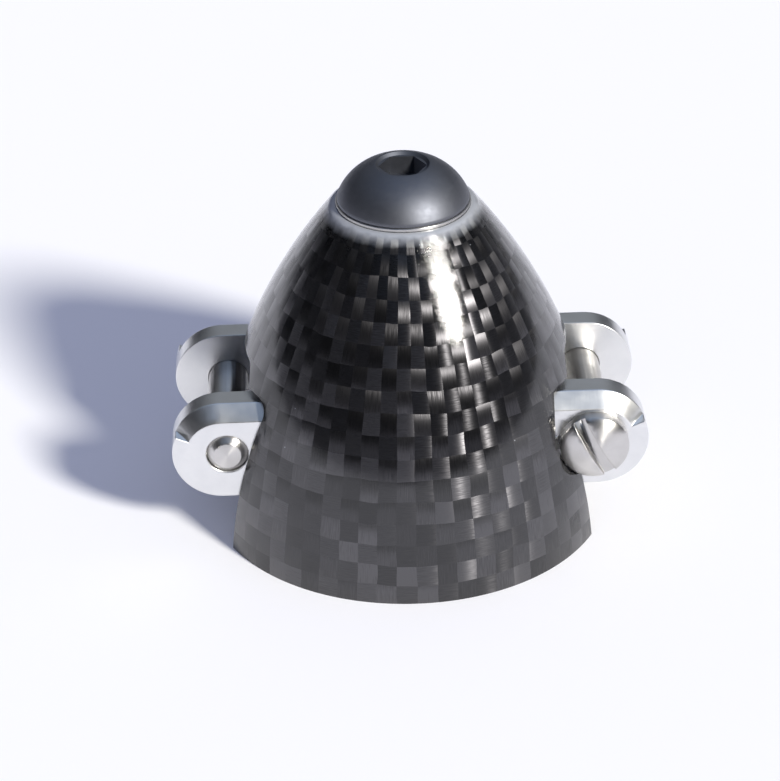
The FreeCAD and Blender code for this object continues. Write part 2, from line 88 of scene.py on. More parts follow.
# ------------------------------------------------------------------------- settings
class SpinnerSizes(bpy.types.PropertyGroup):
    """Sizes that the frame's boxes don't give, in millimetres or degrees."""

    flank_radius: bpy.props.FloatProperty(
        name="Flank radius", description="Radius of the arc that the cone's flank follows", default=44.3)
    tip_radius: bpy.props.FloatProperty(
        name="Tip radius", description="Radius where the flank's arc would meet the tip", default=5.2)
    cone_wall: bpy.props.FloatProperty(
        name="Cone wall", description="Thickness of the laminate", default=0.8)
    tip_wall: bpy.props.FloatProperty(
        name="Tip wall", description="Thickness of the flat tip", default=2.2)
    tip_round: bpy.props.FloatProperty(
        name="Tip round", description="Rounded lip between the flank and the flat tip", default=0.7)
    tip_fillet: bpy.props.FloatProperty(
        name="Tip fillet", description="Fillet under the flat tip", default=1.0)
    screw_hole: bpy.props.FloatProperty(
        name="Screw hole", description="Radius of the hole for the nose screw", default=2.7)
    slot_half: bpy.props.FloatProperty(
        name="Slot half width", description="Half the width of the slots for the forks", default=7.0)
    slot_ledge: bpy.props.FloatProperty(
        name="Slot ledge", description="Height of the slots' upper edge over the ears", default=12.15)
    slot_corner: bpy.props.FloatProperty(
        name="Slot corner", description="Radius of the slots' upper corners", default=1.2)
    arch_half: bpy.props.FloatProperty(
        name="Arch half width", description="Half the width of the arch between the ears", default=4.5)
    arch_top: bpy.props.FloatProperty(
        name="Arch top", description="Height of the arch between the ears", default=13.5)
    arch_corner: bpy.props.FloatProperty(
        name="Arch corner", description="Radius of the arch's shoulders", default=2.0)
    head_relief: bpy.props.FloatProperty(
        name="Head relief", description="Radius of the arc that clears a pin's head", default=2.65)
    notch_face: bpy.props.FloatProperty(
        name="Notch face", description="Distance of the notch's flat face from the axis", default=10.35)
    notch_floor: bpy.props.FloatProperty(
        name="Notch floor", description="Height of the notch's floor over a pin's head", default=8.5)
    dome_radius: bpy.props.FloatProperty(
        name="Dome radius", description="Radius of the screw head's arc in section", default=4.3)
    dome_flat: bpy.props.FloatProperty(
        name="Dome flat", description="Radius of the small flat round the socket", default=2.0)
    dome_edge: bpy.props.FloatProperty(
        name="Dome edge", description="Height of the plain band under the dome", default=0.25)
    socket_flats: bpy.props.FloatProperty(
        name="Socket flats", description="Width across the hexagon socket's flats", default=3.0)
    socket_depth: bpy.props.FloatProperty(
        name="Socket depth", description="Depth of the hexagon socket", default=1.6)
    socket_lead: bpy.props.FloatProperty(
        name="Socket lead", description="Lead-in cone over the socket", default=0.2)
    screw_radius: bpy.props.FloatProperty(
        name="Screw radius", description="Radius of the nose screw's thread", default=2.5)
    thread_pitch: bpy.props.FloatProperty(
        name="Thread pitch", description="Pitch of the nose screw's thread", default=0.8)
    tow_rows: bpy.props.FloatProperty(
        name="Tow height", description="Width of one hoop tow along the flank", default=1.6)
    tow_count: bpy.props.IntProperty(
        name="Tow count", description="Number of lengthwise tows round the cone", default=64)


class SpinnerColours(bpy.types.PropertyGroup):
    """Finish colours, as sRGB."""

    fibre: bpy.props.StringProperty(
        name="Fibre", description="Glint of the carbon tows", default="#504F52")
    resin: bpy.props.StringProperty(
        name="Resin", description="Dark ground between the tows", default="#0E0E10")
    black_oxide: bpy.props.StringProperty(
        name="Black oxide", description="Nose screw", default="#777A82")
    aluminium: bpy.props.StringProperty(
        name="Aluminium", description="Yoke and collet", default="#F2F2F2")
    stainless: bpy.props.StringProperty(
        name="Stainless", description="Pins, nut and washers", default="#DCDAD8")
    floor: bpy.props.StringProperty(
        name="Floor", description="Ground under the spinner", default="#F9F9FA")


def sizes():
    """The scene's sizes."""
    return bpy.context.scene.spinner_sizes


def colours():
    """The scene's colours."""
    return bpy.context.scene.spinner_colours


# ------------------------------------------------------------------------ mesh tools
def surface(name, patches, sharp=35):
    """Mesh object from grids of points that share their borders.

    Each patch is (points, uv, slot): points has the shape rows x columns x 3 in
    millimetres, uv the shape rows x columns x 2 or None, slot a material's number.
    A patch faces the side from which its rows run up and its columns run to the right."""
    points, quads, uvs, slots = [], [], [], []
    start = 0
    for grid, uv, slot in patches:
        rows, columns = grid.shape[:2]
        number = start + np.arange(rows * columns).reshape(rows, columns)
        quad = np.stack([number[:-1, :-1], number[:-1, 1:], number[1:, 1:], number[1:, :-1]], -1)
        quad = quad.reshape(-1, 4)
        points.append(grid.reshape(-1, 3) * MM)
        quads.append(quad)
        uvs.append(np.zeros((rows * columns, 2)) if uv is None else uv.reshape(-1, 2))
        slots.append(np.full(len(quad), slot))
        start += rows * columns
    points, quads, uvs, slots = (np.concatenate(part) for part in (points, quads, uvs, slots))
    mesh = bpy.data.meshes.new(name)
    mesh.from_pydata(points, [], quads)
    layer = mesh.uv_layers.new(name="lay")
    layer.data.foreach_set("uv", uvs[quads.reshape(-1)].astype(np.float32).reshape(-1))
    mesh.polygons.foreach_set("material_index", slots.astype(np.int32))
    shell = bmesh.new()
    shell.from_mesh(mesh)
    bmesh.ops.remove_doubles(shell, verts=shell.verts, dist=2e-7)
    bmesh.ops.dissolve_degenerate(shell, edges=shell.edges, dist=1e-8)
    shell.to_mesh(mesh)
    shell.free()
    mesh.shade_smooth()
    mesh.set_sharp_from_angle(angle=math.radians(sharp))
    return link(bpy.data.objects.new(name, mesh))


def link(thing):
    """Puts an object into the scene and returns it."""
    bpy.context.scene.collection.objects.link(thing)
    return thing


def merged_copy(node, name, sharp=25):
    """Copy of a frame node's mesh with its loose triangles joined and its edges marked."""
    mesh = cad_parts[node].data.copy()
    mesh.name = name
    shell = bmesh.new()
    shell.from_mesh(mesh)
    bmesh.ops.remove_doubles(shell, verts=shell.verts, dist=2e-7)
    shell.to_mesh(mesh)
    shell.free()
    mesh.materials.clear()
    mesh.shade_smooth()
    mesh.set_sharp_from_angle(angle=math.radians(sharp))
    return link(bpy.data.objects.new(name, mesh))


def broken_edges(piece, width, angle=35, segments=2):
    """Small round along every sharp edge, as deburring leaves it."""
    edge = piece.modifiers.new("Broken edges", "BEVEL")
    edge.width = width * MM
    edge.segments = segments
    edge.limit_method = "ANGLE"
    edge.angle_limit = math.radians(angle)
    edge.use_clamp_overlap = False
    edge.harden_normals = True
    return piece


def turned(profile, angles, twist=None):
    """Grid of a profile of (radius, height) rows carried round the Z axis.

    radius may be one number a row or a row of numbers, one for each angle."""
    heights = np.array([row[1] for row in profile], float)[:, None] * np.ones(len(angles))
    radii = np.array([np.broadcast_to(row[0], angles.shape) for row in profile])
    around = np.broadcast_to(angles, radii.shape) if twist is None else angles + twist
    return np.stack([radii * np.cos(around), radii * np.sin(around), heights], -1)


def finish_piece(piece, node, materials):
    """The piece stands for its node, rides on the body and takes its materials."""
    for material in materials:
        piece.data.materials.append(material)
    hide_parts(node)
    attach(piece, "root")
    return piece


# -------------------------------------------------------------------- material tools
def linear(text):
    """sRGB hex to the linear colour that a socket takes."""
    parts = [int(text[i:i + 2], 16) / 255 for i in (1, 3, 5)]
    return [part / 12.92 if part <= 0.04045 else ((part + 0.055) / 1.055) ** 2.4 for part in parts] + [1.0]


def new_material(name):
    """Empty node material and its tree."""
    material = bpy.data.materials.new(name)
    material.use_nodes = True
    material.node_tree.nodes.clear()
    return material, material.node_tree


def add(tree, kind, *inputs, **settings):
    """Adds a node and returns its first live output, from which .node leads to the rest.

    settings are the node's own properties or, where it has none of that name, inputs by
    name.  inputs go to the live input sockets in their order.  Each input is a socket to
    link, a value to set, or None to leave the socket alone."""
    node = tree.nodes.new("ShaderNode" + kind)
    named = {}
    for key, value in settings.items():
        if hasattr(node, key):
            setattr(node, key, value)
        else:
            named[key.replace("_", " ")] = value
    live = [socket for socket in node.inputs if socket.enabled]
    pairs = list(zip(live, inputs)) + [(node.inputs[name], value) for name, value in named.items()]
    for socket, value in pairs:
        if isinstance(value, bpy.types.NodeSocket):
            tree.links.new(value, socket)
        elif value is not None:
            socket.default_value = value
    return next((socket for socket in node.outputs if socket.enabled), None)


# ------------------------------------------------------------------------- materials
def weave_cells(tree):
    """Plain weave from the piece's own lay map, which counts tows across and rows up.

    Gives the lay map itself; hoop, 1 where a hoop tow lies on top and 0 where a
    lengthwise one does; the place along the top tow from -0.5 to 0.5; and three random
    numbers a cell.  A slow noise sways the tows, as hand-laid cloth does."""
    lay = add(tree, "UVMap", uv_map="lay")
    sway = add(tree, "TexNoise", lay, Scale=0.35, Detail=2.0)
    sway = add(tree, "VectorMath", sway.node.outputs["Color"], (0.5, 0.5, 0.5), operation="SUBTRACT")
    sway = add(tree, "VectorMath", sway, (0.35, 0.35, 0.0), operation="MULTIPLY")
    place = add(tree, "VectorMath", lay, sway, operation="ADD")
    split = add(tree, "SeparateXYZ", place).node.outputs
    column = add(tree, "Math", split[0], operation="FLOOR")
    row = add(tree, "Math", split[1], operation="FLOOR")
    hoop = add(tree, "Math", add(tree, "Math", column, row, operation="ADD"), 1.0, operation="PINGPONG")
    in_column, in_row = (
        add(tree, "Math", add(tree, "Math", part, operation="FRACT"), 0.5, operation="SUBTRACT")
        for part in (split[0], split[1]))
    along = add(tree, "Mix", hoop, in_row, in_column)
    chance = add(tree, "TexWhiteNoise", add(tree, "CombineXYZ", column, row)).node.outputs["Color"]
    return lay, hoop, along, add(tree, "SeparateColor", chance).node.outputs


def carbon_weave():
    """Plain-woven 3K carbon moulded under clear epoxy: every tow is a bundle of fibres
    that glints across its own direction, beneath a smooth gloss coat.  The lip is
    pale grey and the coat carries a few specks of dust."""
    material, tree = new_material("Woven carbon in epoxy")
    lay, hoop, along, chance = weave_cells(tree)

    # fibres: fine streaks along the top tow, 0.08 mm apart, which is about ten times as
    # coarse as real filaments so that they show
    across_rows = add(tree, "Mapping", lay, Scale=(1.4, 20.0, 1.0))
    across_columns = add(tree, "Mapping", lay, Scale=(20.0, 1.4, 1.0))
    strand = add(tree, "Mix", hoop, across_columns, across_rows, data_type="VECTOR")
    streaks = add(tree, "TexNoise", strand, Scale=1.0, Detail=2.0)

    # slope of the top tow: it bows over its neighbours and every tow tips at random
    tip = add(tree, "Math", chance[0], TOW_TILT, -TOW_TILT / 2, operation="MULTIPLY_ADD")
    bow = add(tree, "Math", along, TOW_BOW, tip, operation="MULTIPLY_ADD")
    lean = add(tree, "Math", chance[2], TOW_TILT, -TOW_TILT / 2, operation="MULTIPLY_ADD")
    ridge = add(tree, "Math", streaks, 0.5, operation="SUBTRACT")
    roll = add(tree, "Math", ridge, FIBRE_RIDGE, lean, operation="MULTIPLY_ADD")
    shade = add(tree, "Math", chance[1], 2.0, operation="POWER")
    shade = add(tree, "Math", shade, 1.1, 0.25, operation="MULTIPLY_ADD")
    uneven = add(tree, "Math", streaks, 1.6, 0.2, operation="MULTIPLY_ADD")
    shade = add(tree, "Math", shade, uneven, operation="MULTIPLY")
    place = add(tree, "TexCoord").node.outputs["Object"]
    level = add(tree, "SeparateXYZ", place).node.outputs[2]
    # painted shade: the tows' colour darkens toward the lip, which dims their glints there
    tow_shade_under_lip = add(tree, "MapRange", level, SHADED_TOWS_UNDER_LIP[0] * MM, SHADED_TOWS_UNDER_LIP[1] * MM, 1.0, 0.35)
    shade = add(tree, "Math", shade, tow_shade_under_lip, operation="MULTIPLY")
    fibre = add(tree, "Mix", shade, linear(colours().resin), linear(colours().fibre), data_type="RGBA")

    # a pale grey lip and scattered dust
    lip_from, lip_to = ((CONE_HIGH[2] + height) * MM for height in PALE_LIP)
    patchy = add(tree, "TexNoise", place, Scale=1500.0, Detail=3.0)
    reach = add(tree, "Math", patchy, 0.0004, level, operation="MULTIPLY_ADD")
    lip = add(tree, "MapRange", reach, lip_from, lip_to)
    specks = add(tree, "TexVoronoi", place, Scale=1100.0).node.outputs
    near = add(tree, "Math", specks["Distance"], 0.055, operation="LESS_THAN")
    rare = add(tree, "Math", add(tree, "SeparateColor", specks["Color"]), 0.93, operation="GREATER_THAN")
    dust = add(tree, "Math", near, rare, operation="MULTIPLY")
    pale_lip_and_dust = add(tree, "Math", lip, dust, operation="MAXIMUM")

    # the slopes as a tangent-space normal, and hairlines in the coat that fade downward
    whole = add(tree, "Math", 1.0, pale_lip_and_dust, operation="SUBTRACT")
    slope = add(tree, "CombineXYZ", add(tree, "Mix", hoop, roll, bow), add(tree, "Mix", hoop, bow, roll))
    slope = add(tree, "VectorMath", slope, add(tree, "CombineXYZ", whole, whole), operation="MULTIPLY")
    packed = add(tree, "VectorMath", slope, (0.5, 0.5, 0.5), (0.5, 0.5, 1.0), operation="MULTIPLY_ADD")
    hair_fade = add(tree, "MapRange", level, HAIRLINES[0] * MM, HAIRLINES[1] * MM, 0.08, 1.0)
    hair_place = add(tree, "Mapping", lay, Scale=(2.0, 60.0, 1.0))
    hairs = add(tree, "TexNoise", hair_place, Scale=1.0, Detail=2.0)
    shader = add(
        tree, "BsdfPrincipled",
        Normal=add(tree, "NormalMap", Color=packed, space="TANGENT", uv_map="lay"),
        Coat_Normal=add(tree, "Bump", Height=hairs, Strength=hair_fade, Distance=0.00001),
        Base_Color=add(tree, "Mix", pale_lip_and_dust, fibre, linear("#9DA0A5"), data_type="RGBA"),
        Metallic=add(tree, "Math", pale_lip_and_dust, -0.92, 0.92, operation="MULTIPLY_ADD"),
        Tangent=add(tree, "Tangent", direction_type="UV_MAP", uv_map="lay"),
        Anisotropic_Rotation=add(tree, "Math", hoop, 0.25, operation="MULTIPLY"),
        Roughness=0.36, Anisotropic=0.86,
        Coat_Weight=1.0, Coat_Roughness=0.08, Coat_IOR=1.58)
    add(tree, "OutputMaterial", shader)
    return material


def cut_carbon():
    """Sawn edge of the laminate: dull black with fine ply lines."""
    material, tree = new_material("Cut carbon edge")
    place = add(tree, "TexCoord").node.outputs["Object"]
    grain = add(tree, "TexNoise", place, Scale=5200.0, Detail=3.0)
    shader = add(
        tree, "BsdfPrincipled", Roughness=0.55,
        Base_Color=add(tree, "Mix", grain, linear("#0C0C0D"), linear("#3A3A3C"), data_type="RGBA"),
        Normal=add(tree, "Bump", Height=grain, Strength=0.6, Distance=0.00003))
    add(tree, "OutputMaterial", shader)
    return material


def carbon_inside():
    """Inner face of the laminate, rough where the mould's bag pressed on it."""
    material, tree = new_material("Bagged carbon face")
    _, hoop, _, chance = weave_cells(tree)
    place = add(tree, "TexCoord").node.outputs["Object"]
    wrinkle = add(tree, "TexNoise", place, Scale=900.0, Detail=4.0)
    half = add(tree, "Math", wrinkle, 0.5, operation="MULTIPLY")
    shade = add(tree, "Math", hoop, 0.35, half, operation="MULTIPLY_ADD")
    step = add(tree, "Math", chance[0], 0.4, operation="MULTIPLY")
    height = add(tree, "Math", wrinkle, 1.2, step, operation="MULTIPLY_ADD")
    shader = add(
        tree, "BsdfPrincipled", Roughness=0.42,
        Base_Color=add(tree, "Mix", shade, linear("#0B0B0C"), linear("#2C2C2E"), data_type="RGBA"),
        Normal=add(tree, "Bump", Height=height, Strength=0.7, Distance=0.00008))
    add(tree, "OutputMaterial", shader)
    return material


def black_oxide():
    """Black-oxide alloy steel: dark, a little blue, with a satin sheen."""
    material, tree = new_material("Black oxide steel")
    place = add(tree, "TexCoord").node.outputs["Object"]
    grain = add(tree, "TexNoise", place, Scale=2600.0, Detail=4.0)
    blotch = add(tree, "TexNoise", place, Scale=420.0, Detail=3.0)
    shader = add(
        tree, "BsdfPrincipled", Metallic=1.0,
        Base_Color=add(
            tree, "Mix", blotch, linear("#666870"), linear(colours().black_oxide), data_type="RGBA"),
        Roughness=add(tree, "Math", grain, 0.14, 0.46, operation="MULTIPLY_ADD"),
        Normal=add(tree, "Bump", Height=grain, Strength=0.3, Distance=0.00001))
    add(tree, "OutputMaterial", shader)
    return material


def machined_aluminium():
    """Milled aluminium, bright, with fine cutter lines and a patchy haze from handling."""
    material, tree = new_material("Milled aluminium")
    place = add(tree, "TexCoord").node.outputs["Object"]
    lines = add(tree, "Mapping", place, Scale=(9000.0, 1500.0, 900.0))
    cutter = add(tree, "TexNoise", lines, Scale=1.0, Detail=2.0)
    haze = add(tree, "TexNoise", place, Scale=700.0, Detail=4.0)
    shader = add(
        tree, "BsdfPrincipled", Metallic=1.0,
        Base_Color=add(tree, "Mix", haze, linear("#E0E1E2"), linear(colours().aluminium), data_type="RGBA"),
        Roughness=add(tree, "Math", haze, 0.16, 0.24, operation="MULTIPLY_ADD"),
        Normal=add(tree, "Bump", Height=cutter, Strength=0.35, Distance=0.000006))
    add(tree, "OutputMaterial", shader)
    return material


def turned_stainless(name, centre, axis):
    """Stainless steel off the lathe: fine rings round the axis that the piece turned on."""
    material, tree = new_material(name)
    place = add(tree, "TexCoord").node.outputs["Object"]
    centred = add(tree, "VectorMath", place, [number * MM for number in centre], operation="SUBTRACT")
    split = add(tree, "SeparateXYZ", centred).node.outputs
    first, second = [split[number] for number in range(3) if number != axis]
    square = add(tree, "Math", second, second, operation="MULTIPLY")
    square = add(tree, "Math", first, first, square, operation="MULTIPLY_ADD")
    radius = add(tree, "Math", square, operation="SQRT")
    rings = add(tree, "TexNoise", add(tree, "CombineXYZ", radius, split[axis]), Scale=16000.0, Detail=2.0)
    haze = add(tree, "TexNoise", place, Scale=900.0, Detail=3.0)
    pole = [float(number == axis) for number in range(3)]
    outward = add(tree, "VectorMath", centred, [1.0 - number for number in pole], operation="MULTIPLY")
    outward = add(tree, "VectorMath", outward, operation="NORMALIZE")
    shader = add(
        tree, "BsdfPrincipled", Metallic=1.0, Anisotropic=0.75,
        Tangent=add(tree, "VectorMath", outward, [number / 2 for number in pole], operation="ADD"),
        Base_Color=add(tree, "Mix", haze, linear("#C6C4C2"), linear(colours().stainless), data_type="RGBA"),
        Roughness=add(tree, "Math", haze, 0.12, 0.26, operation="MULTIPLY_ADD"),
        Normal=add(tree, "Bump", Height=rings, Strength=0.6, Distance=0.000008))
    add(tree, "OutputMaterial", shader)
    return material


def floor_material():
    """Plain pale matt ground."""
    material, tree = new_material("Plain ground")
    shader = add(
        tree, "BsdfPrincipled", Base_Color=linear(colours().floor),
        Roughness=0.9, Specular_IOR_Level=0.1)
    add(tree, "OutputMaterial", shader)
    return material


# ------------------------------------------------------------------------- the cone
def flank_arc(drop=0.0):
    """Centre and radius of the flank's arc in section, shrunk by drop.

    The arc runs from the rim to the tip radius at the top; its centre lies on the
    bisector of those two points, its radius away from both."""
    size = sizes()
    rim, top = CONE_HIGH[1], CONE_HIGH[2]
    half = math.hypot(rim - size.tip_radius, top) / 2
    rise = math.sqrt(size.flank_radius ** 2 - half ** 2)
    centre_x = (rim + size.tip_radius) / 2 - rise * top / (2 * half)
    centre_z = top / 2 - rise * (rim - size.tip_radius) / (2 * half)
    return centre_x, centre_z, size.flank_radius - drop


def flank(height, drop=0.0):
    """Distance from the axis to the flank's arc, moved inward along its radius by drop."""
    centre_x, centre_z, radius = flank_arc(drop)
    return centre_x + np.sqrt(radius ** 2 - (np.asarray(height) - centre_z) ** 2)


def flank_round(level, drop, radius, steps):
    """Points of the round that joins the flank's arc to a flat at a level, arc first.

    The round's centre lies below the flat by its radius and on a smaller flank arc;
    the points turn about it from the flank's normal to the upright."""
    across = float(flank(level - radius, drop + radius))
    centre_x, centre_z, _ = flank_arc()
    start = math.atan2(level - radius - centre_z, across - centre_x)
    turn = np.linspace(start, math.pi / 2, steps)
    return [(across + radius * math.cos(t), level - radius + radius * math.sin(t)) for t in turn]


def corner_inset(height, level, radius):
    """How far a round of a radius under a level leads inward at a height."""
    above = np.clip(height - level + radius, 0, radius)
    return radius - np.sqrt(radius ** 2 - above ** 2)


def slot_edge(heights, drop):
    """Angle from the X axis to the slot's straight side and its rounded upper corner."""
    size = sizes()
    radius = flank(heights, drop)
    half = size.slot_half - corner_inset(heights, size.slot_ledge, size.slot_corner)
    return np.arcsin(half / radius)


def arch_edge(heights, drop):
    """Angle from the X axis to the side of the arch between the ears."""
    size = sizes()
    radius = flank(heights, drop)
    return np.arcsin((size.arch_half - corner_inset(heights, size.arch_top, size.arch_corner)) / radius)


def relief_edge(heights, drop):
    """The slot's side where it also gives way to the arc round a pin's head."""
    size = sizes()
    radius = flank(heights, drop)
    bite = size.head_relief ** 2 - (heights - PIN_HEIGHT) ** 2
    limit = np.where(bite > 0, PIN_DISTANCE - np.sqrt(np.maximum(bite, 0)), radius)
    return np.maximum(slot_edge(heights, drop), np.arccos(np.minimum(limit / radius, 1)))


def notch_edge(heights, drop):
    """The slot's side where the notch over a pin's head has a flat face across X."""
    radius = flank(heights, drop)
    return np.maximum(slot_edge(heights, drop), np.arccos(sizes().notch_face / radius))


def lay_map(around, heights):
    """Tows across and rows up at each point of the cone: rows follow the flank's arc."""
    size = sizes()
    _, centre_z, arc = flank_arc()
    along = arc * np.arcsin(np.clip((heights - centre_z) / arc, -1, 1))
    return np.stack([around / TURN * size.tow_count, along / size.tow_rows], -1)


def ring_lay(around, profile):
    """The lay map of a turned grid, from its angles and its profile's heights."""
    heights = np.array([row[1] for row in profile])
    return lay_map(*np.broadcast_arrays(around, heights[:, None]))


def lobe_bands():
    """Three bands of a lobe, each with its heights and the edges at its start and end.

    A step between two bands is a flat face: the notch's floor and the slot's ledges."""
    size = sizes()
    turn = np.linspace(0, math.pi / 2, 13)
    floor = size.notch_floor
    low = np.concatenate([
        np.linspace(0, floor, 41),
        PIN_HEIGHT - size.head_relief * np.cos(np.linspace(0, math.pi / 2, 31)),
    ])
    corner = size.slot_ledge - size.slot_corner
    middle = np.concatenate([np.linspace(floor, corner, 21), corner + size.slot_corner * np.sin(turn)])
    start = math.acos((size.arch_top - size.slot_ledge) / size.arch_corner - 1) - math.pi / 2
    crown = size.arch_top - size.arch_corner
    upper = crown + size.arch_corner * np.sin(np.linspace(math.pi / 2 - start, math.pi / 2, 13))
    upper[0] = size.slot_ledge
    return (
        (np.unique(np.round(low, 5)), slot_edge, relief_edge),
        (np.unique(np.round(middle, 5)), slot_edge, notch_edge),
        (upper, arch_edge, arch_edge),
    )


def lobe_angles(start, drop):
    """Angles of every band's grid; where two bands meet they share their columns.

    The middle band has even columns.  The band below reaches further at its end, the
    band above at both, and the columns that they add there edge the flat steps."""
    low, middle, upper = lobe_bands()
    edges = []
    for heights, first, last in (low, middle, upper):
        edges.append((start + first(heights, drop), start + math.pi - last(heights, drop)))
    step = np.linspace(0, 1, 5)
    core = edges[1][0][:, None] + np.linspace(0, 1, 97) * (edges[1][1] - edges[1][0])[:, None]
    under_end = core[0, -1] + step[1:] * (edges[0][1][-1] - core[0, -1])
    over_start = edges[2][0][0] + step[:-1] * (core[-1, 0] - edges[2][0][0])
    over_end = core[-1, -1] + step[1:] * (edges[2][1][0] - core[-1, -1])
    grids = []
    for number, row in ((0, np.concatenate([core[0], under_end])),
                        (2, np.concatenate([over_start, core[-1], over_end]))):
        first, last = edges[number]
        share = (row - row[0]) / (row[-1] - row[0])
        grids.append(first[:, None] + share * (last - first)[:, None])
    return (grids[0], core, grids[1]), len(step)


def cone_patches():
    """The cone as grids: two lobes between the slots and one turned nose above them.

    A point of the flank is (r cos a, r sin a, z) with r from the flank's arc.  On a
    lobe, a runs from one edge of the slot to the other at every height."""
    size = sizes()
    top = CONE_HIGH[2]
    patches = []
    rings = {}
    for start in (0.0, math.pi):
        bands = []
        for drop in (0.0, size.cone_wall):
            angles, step = lobe_angles(start, drop)
            rows = []
            for (heights, _, _), around in zip(lobe_bands(), angles):
                radius = flank(heights, drop)
                level = np.repeat(heights[:, None], around.shape[1], 1)
                x, y = radius[:, None] * np.cos(around), radius[:, None] * np.sin(around)
                grid = np.stack([x, y, level], -1)
                rows.append((grid, lay_map(around, level)))
            bands.append(rows)
            rings[start, drop] = angles[2][-1]
        for (outer, outer_lay), (inner, inner_lay) in zip(*bands):
            patches.append((outer, outer_lay, 0))
            patches.append((inner[:, ::-1], inner_lay[:, ::-1], 1))
            patches.append((np.stack([inner[:, 0], outer[:, 0]], 1), None, 2))
            patches.append((np.stack([outer[:, -1], inner[:, -1]], 1), None, 2))
        outer, inner = ([grid for grid, _ in rows] for rows in bands)
        patches.append((np.stack([inner[0][0], outer[0][0]]), None, 2))
        patches.append((np.stack([outer[0][-1, -step:], inner[0][-1, -step:]]), None, 2))
        patches.append((np.stack([inner[2][0, :step], outer[2][0, :step]]), None, 2))
        patches.append((np.stack([inner[2][0, -step:], outer[2][0, -step:]]), None, 2))

    # the arches' flat crowns, between the two lobes on each side
    share = np.linspace(0, 1, 17)
    around = []
    for drop in (0.0, size.cone_wall):
        ring = []
        for start in (0.0, math.pi):
            lobe = rings[start, drop]
            following = rings[math.pi - start, drop][0] + 2 * start
            ring += [lobe[:-1], lobe[-1] + share[:-1] * (following - lobe[-1])]
        around.append(np.append(np.concatenate(ring), ring[0][0] + TURN))
    outer_around, inner_around = around
    outer_radius = flank(size.arch_top)
    inner_radius = flank(size.arch_top, size.cone_wall)
    half = len(outer_around) // 2
    for last in (half, 2 * half):
        chosen = slice(last - len(share) + 1, last + 1)
        inner = turned([(inner_radius, size.arch_top)], inner_around[chosen])
        outer = turned([(outer_radius, size.arch_top)], outer_around[chosen])
        patches.append((np.concatenate([inner, outer]), None, 2))

    # nose: up the flank, round the lip, down the screw's hole and back down inside
    underside = top - size.tip_wall
    lip = flank_round(top, 0.0, size.tip_round, 9)
    throat = flank_round(underside, size.cone_wall, size.tip_fillet, 9)[::-1]
    flank_rows = np.linspace(size.arch_top, lip[0][1], 60)[:-1]
    inside_rows = np.linspace(throat[-1][1], size.arch_top, 40)[1:]
    outside = [(float(flank(z)), z) for z in flank_rows] + lip
    crown = [(size.screw_hole, top), (size.screw_hole, underside)]
    inside = throat + [(float(flank(z, size.cone_wall)), z) for z in inside_rows]
    patches.append((turned(outside, outer_around), ring_lay(outer_around, outside), 0))
    patches.append((turned([lip[-1]] + crown + throat[:1], outer_around), None, 2))
    share_down = np.append(np.zeros(len(throat)), np.linspace(0, 1, len(inside_rows) + 1)[1:])
    drift = (inner_around - outer_around) * share_down[:, None]
    patches.append((turned(inside, outer_around, twist=drift), ring_lay(outer_around, inside), 1))
    return patches


# --------------------------------------------------------------------- the nose screw
def screw_patches():
    """Button head with its hexagon socket, and the threaded shank.

    Every row is a ring (r(a) cos a, r(a) sin a, z); r is the same all round but for
    the socket, where it is half the flats over the cosine of the angle to the flat."""
    size = sizes()
    top = SCREW_HIGH[2]
    seat = WASHER_HIGH[2]
    head = SCREW_HIGH[0]
    angles = np.linspace(0, TURN, 181)
    sector = math.pi / 3
    to_flat = (angles - math.pi / 2 + sector / 2) % sector - sector / 2
    hexagon = size.socket_flats / 2 / np.cos(to_flat)
    corner = size.socket_flats / math.sqrt(3)
    edge_top = seat + size.dome_edge
    rise, run = top - edge_top, head - size.dome_flat
    half = math.hypot(rise, run) / 2
    away = math.sqrt(size.dome_radius ** 2 - half ** 2)
    centre_r = (head + size.dome_flat) / 2 - away * rise / (2 * half)
    centre_z = (top + edge_top) / 2 - away * run / (2 * half)
    low = math.atan2(edge_top - centre_z, head - centre_r)
    high = math.atan2(top - centre_z, size.dome_flat - centre_r)
    dome = [(centre_r + size.dome_radius * math.cos(t), centre_z + size.dome_radius * math.sin(t))
            for t in np.linspace(low, high, 40)]
    lead = [(corner + size.socket_lead, top), (corner, top - size.socket_lead)]
    socket = [(hexagon, top - size.socket_lead), (hexagon, top - size.socket_depth)]
    drill_point = 0.35
    floor = [(hexagon * 0.85, top - size.socket_depth), (POLE, top - size.socket_depth - drill_point)]
    edge = 0.08
    rim = [(size.screw_radius, seat), (head - edge, seat), (head, seat + edge)]
    patches = [(turned(rim + dome + lead + socket + floor, angles), None, 0)]

    # thread: a sharp-cut groove that climbs one pitch a turn, as depth over the plain shank
    bottom = SCREW_LOW[2]
    chamfer, runout, groove = 0.5, 0.4, 0.418
    root_flat = 0.88
    crest = size.screw_radius - 0.02
    start, end = bottom + chamfer, seat - runout
    rows = np.linspace(start, end, 200)
    phase = (rows[:, None] / size.thread_pitch - angles / TURN) % 1.0
    depth = groove * np.minimum(np.abs(phase - 0.5) * 2, root_flat)
    fade = np.clip((rows - start) / runout, 0, 1) * np.clip((end - rows) / runout, 0, 1)
    radii = crest - depth * fade[:, None]
    shank = [(POLE, bottom), (size.screw_radius - chamfer, bottom), (crest, start)]
    shank += list(zip(radii, rows))
    shank += [(size.screw_radius, seat)]
    patches.append((turned(shank, angles), None, 0))
    return patches


# ------------------------------------------------------------------------- operators
class SPINNER_OT_cone(bpy.types.Operator):
    """Builds the woven cone"""

    bl_idname = "spinner.cone"
    bl_label = "Cone"

    def execute(self, context):
        piece = surface("cone_shell", cone_patches())
        finish_piece(piece, "spinner_cone", [carbon_weave(), carbon_inside(), cut_carbon()])
        return {"FINISHED"}


